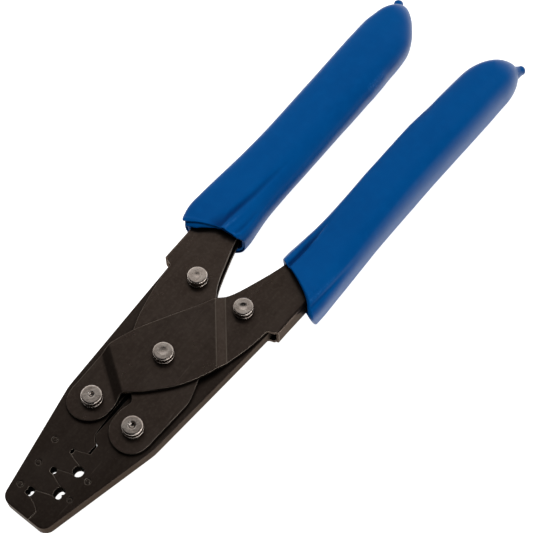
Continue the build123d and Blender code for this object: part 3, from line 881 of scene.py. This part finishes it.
def soften_seam(mesh, drip_base):
    """Smooths the skin where the drip leaves the end."""
    bm = bmesh.new()
    bm.from_mesh(mesh)
    centre = Vector(drip_base) * MM + Vector((0, 0, MID_Z))
    seam = [v for v in bm.verts if (v.co - centre).length < 0.0022]
    for _ in range(6):
        bmesh.ops.smooth_vert(bm, verts=seam, factor=0.5,
                              use_axis_x=True, use_axis_y=True, use_axis_z=True)
    bm.to_mesh(mesh)
    bm.free()


def grip(name, form, body, node, mat):
    ob = sleeve_object(name, form)
    join_drip(ob, drip_object(name + "_drip", form))
    mesh = ob.data
    soften_seam(mesh, form.drip_base)
    mesh.materials.clear()
    mesh.materials.append(mat)
    mesh.polygons.foreach_set("use_smooth", [True] * len(mesh.polygons))
    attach(ob, body)
    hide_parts(node)


grip("vinyl_grip_a", GRIP_A, "lever_a", "lever_a_grip", VINYL_A)
grip("vinyl_grip_b", GRIP_B, "lever_b", "lever_b_grip", VINYL_B)


# ------------------------------------------------------------------ floor
def pale_floor():
    """Self-lit floor, a little brighter to the camera than to the tool."""
    t = Material("pale_floor")
    seen = t.new("ShaderNodeLightPath").outputs["Is Camera Ray"]
    t.set(Base_Color=(0.55, 0.55, 0.55, 1), Roughness=0.9, Specular_IOR_Level=0.0,
          Emission_Color=(1, 1, 1, 1),
          Emission_Strength=t.remap(seen, span=(0, 1), to=(0.82, 0.99)))
    return t.mat


bm = bmesh.new()
bmesh.ops.create_grid(bm, x_segments=1, y_segments=1, size=3.0)
floor_mesh = bpy.data.meshes.new("floor")
bm.to_mesh(floor_mesh)
bm.free()
floor = bpy.data.objects.new("floor", floor_mesh)
scene.collection.objects.link(floor)
floor.location = (0.05, 0, -0.0002)
floor_mesh.materials.append(pale_floor())

# ------------------------------------------------------------------ world
# levels of the base, the far side, the rim at the horizon and the right side
WORLD_LOW, WORLD_FAR, WORLD_RIM, WORLD_SIDE = 0.005, 1.35, 0.10, 0.75
# (how far ahead of the camera, share of WORLD_FAR)
FAR_STEPS = [(0.05, 0.0), (0.32, 0.10), (0.51, 0.34), (0.67, 0.44), (0.95, 0.50)]


def studio():
    """Dark overhead and behind the camera, brighter on the far side, white low on the right."""
    world = bpy.data.worlds.new("studio")
    scene.world = world
    world.use_nodes = True
    t = Nodes(world.node_tree)
    direction = t.new("ShaderNodeTexCoord").outputs["Generated"]
    ahead = t.dot(direction, AHEAD)
    z = t.split(direction)["Z"]
    far = t.ramp(ahead, [(position, (c, c, c)) for position, c in FAR_STEPS])
    far = t.math("ADD", t.scaled(far, by=WORLD_FAR), WORLD_LOW)
    rim = t.remap(z, span=(0.02, 0.30), to=(WORLD_RIM, 0), smooth=True)
    rightwards = t.dot(direction, RIGHT)
    side = t.math("MULTIPLY",
                  t.remap(rightwards, span=(0.35, 0.78), to=(0, WORLD_SIDE), smooth=True),
                  t.remap(z, span=(0.30, 0.62), to=(1, 0), smooth=True))
    level = t.math("ADD", t.math("ADD", far, rim), side)
    # the camera itself sees white
    camera_ray = t.new("ShaderNodeLightPath").outputs["Is Camera Ray"]
    background = t.new("ShaderNodeBackground")
    t.put_all(background.inputs, ((1.0, 0.985, 0.97, 1),
                                  t.math("MAXIMUM", level, t.scaled(camera_ray, by=1.0))))
    t.link(background.outputs[0], t.new("ShaderNodeOutputWorld").inputs[0])


studio()

# ------------------------------------------------------------------ lights
LIT = Vector((0.045, 0, 0.01))        # the point all lights face


def area(name, offset, size, size_y, energy, glossy=True):
    light = bpy.data.lights.new(name, "AREA")
    light.shape = "RECTANGLE"
    light.size = size
    light.size_y = size_y
    light.energy = energy
    ob = bpy.data.objects.new(name, light)
    scene.collection.objects.link(ob)
    ob.location = LIT + offset
    ob.rotation_euler = (-offset).to_track_quat("-Z", "Y").to_euler()
    ob.visible_glossy = glossy


area("overhead", AHEAD * 0.22 - RIGHT * 0.06 + UP * 0.74, size=0.46, size_y=0.46,
     energy=5.0, glossy=False)
area("front", -AHEAD * 0.58 + RIGHT * 0.40 + UP * 0.40, size=0.42, size_y=0.20, energy=0.80)
area("right", RIGHT * 0.66 - AHEAD * 0.24 + UP * 0.30, size=0.30, size_y=0.16, energy=0.62)

# ------------------------------------------------------------------ camera
AIM = Vector((43.400, -3.713, 0))     # mm
DISTANCE = 362.924                    # mm

back = -AHEAD * math.cos(ELEVATION) + UP * math.sin(ELEVATION)
cam_up = AHEAD * math.sin(ELEVATION) + UP * math.cos(ELEVATION)
place = AIM + back * DISTANCE
cam = bpy.data.cameras.new("camera")
cam.sensor_width = 36
cam.lens = 80.73591
cam.clip_start = 0.01
camera = bpy.data.objects.new("camera", cam)
scene.collection.objects.link(camera)
camera.matrix_world = Matrix((
    (RIGHT.x, cam_up.x, back.x, place.x * MM),
    (RIGHT.y, cam_up.y, back.y, place.y * MM),
    (RIGHT.z, cam_up.z, back.z, place.z * MM + MID_Z),
    (0, 0, 0, 1)))
scene.camera = camera
scene.view_settings.view_transform = "Standard"
